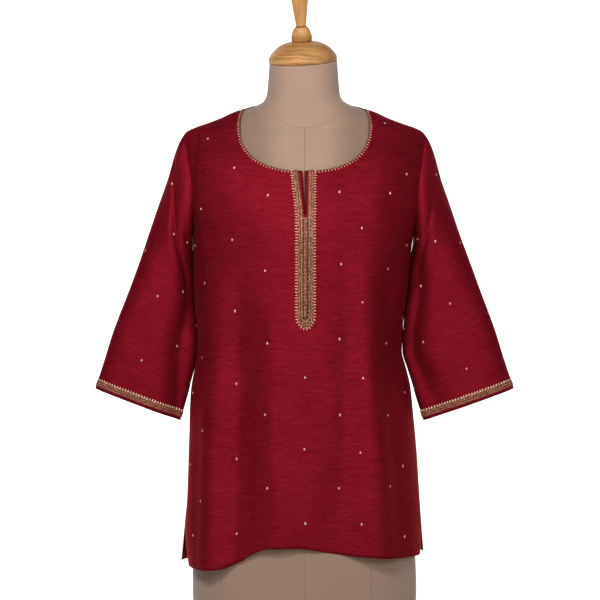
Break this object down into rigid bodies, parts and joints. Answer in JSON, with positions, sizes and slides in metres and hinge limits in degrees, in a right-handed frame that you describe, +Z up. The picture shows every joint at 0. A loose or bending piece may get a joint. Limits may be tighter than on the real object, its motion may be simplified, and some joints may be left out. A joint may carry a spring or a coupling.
{
  "type": "tunic on dress form",
  "caption": "Straight silk tunic with three-quarter sleeves, round slit neckline and woven gold trims, on a limbless dress form with a turned wooden cap.",
  "frame": {"origin": "centre of the dress form's flat underside", "axes": "+Z up, the front faces -Y, +X is the side on the right in the front view"},
  "size_m": [0.6478, 0.2602, 1.0259],
  "materials": {
    "silk": "slubbed crimson raw silk, soft sheen",
    "gold_weave": "flat woven strip in dull gold and brown thread",
    "form_cover": "matt beige jersey stretched over the form",
    "turned_wood": "turned, clear satin varnish"
  },
  "bodies": {
    "root": {"front": "silk", "back": "silk", "sleeve_left": "silk", "sleeve_right": "silk", "neck_trim": "gold_weave", "placket_border": "gold_weave", "placket_centre": "gold_weave", "cuff_trim_left": "gold_weave", "cuff_trim_right": "gold_weave", "dress_form": "form_cover", "neck_cap": "turned_wood", "neck_knob": "turned_wood"}
  },
  "joints": []
}
